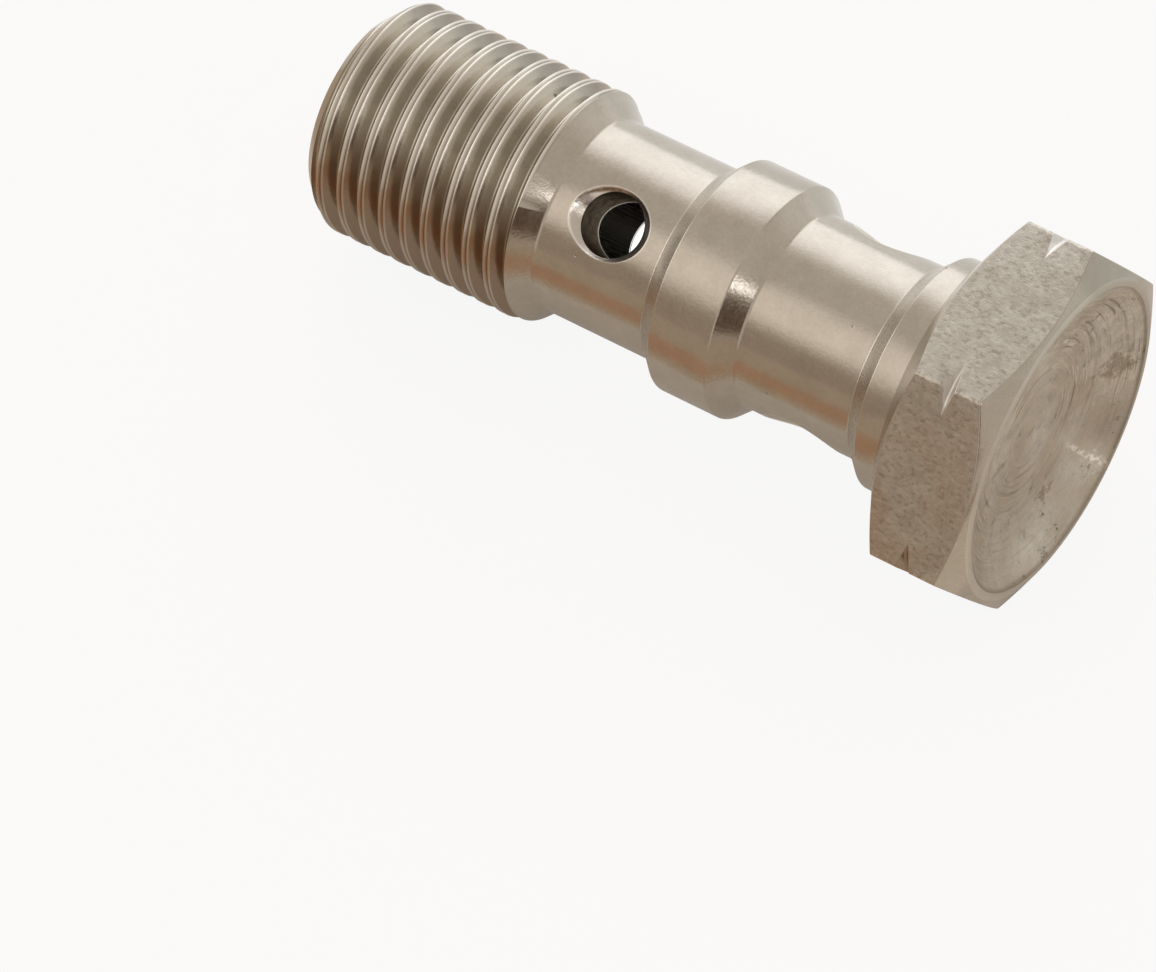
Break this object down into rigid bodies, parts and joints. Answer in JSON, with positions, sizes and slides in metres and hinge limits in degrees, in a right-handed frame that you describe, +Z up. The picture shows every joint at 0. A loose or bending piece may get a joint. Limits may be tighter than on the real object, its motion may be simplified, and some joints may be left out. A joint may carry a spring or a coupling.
{
  "type": "banjo bolt",
  "caption": "Hexagon-head banjo bolt for stacked banjo fittings: threaded tip, waisted cross-drilled necks, centring collar, blind axial fluid bore and dished head.",
  "frame": {"origin": "centre of the bounding box at its bottom, on the surface the bolt lies on", "axes": "+X runs along the bolt towards its head, whose axis lies in the XZ plane and rises by 4.19 degrees towards the head; +Z is up"},
  "size_m": [0.033, 0.016, 0.0142],
  "materials": {
    "steel": "turned stainless steel, satin with fine turning marks; hexagon flats are drawn bar"
  },
  "bodies": {
    "root": {"banjo_bolt": "steel"}
  },
  "joints": []
}
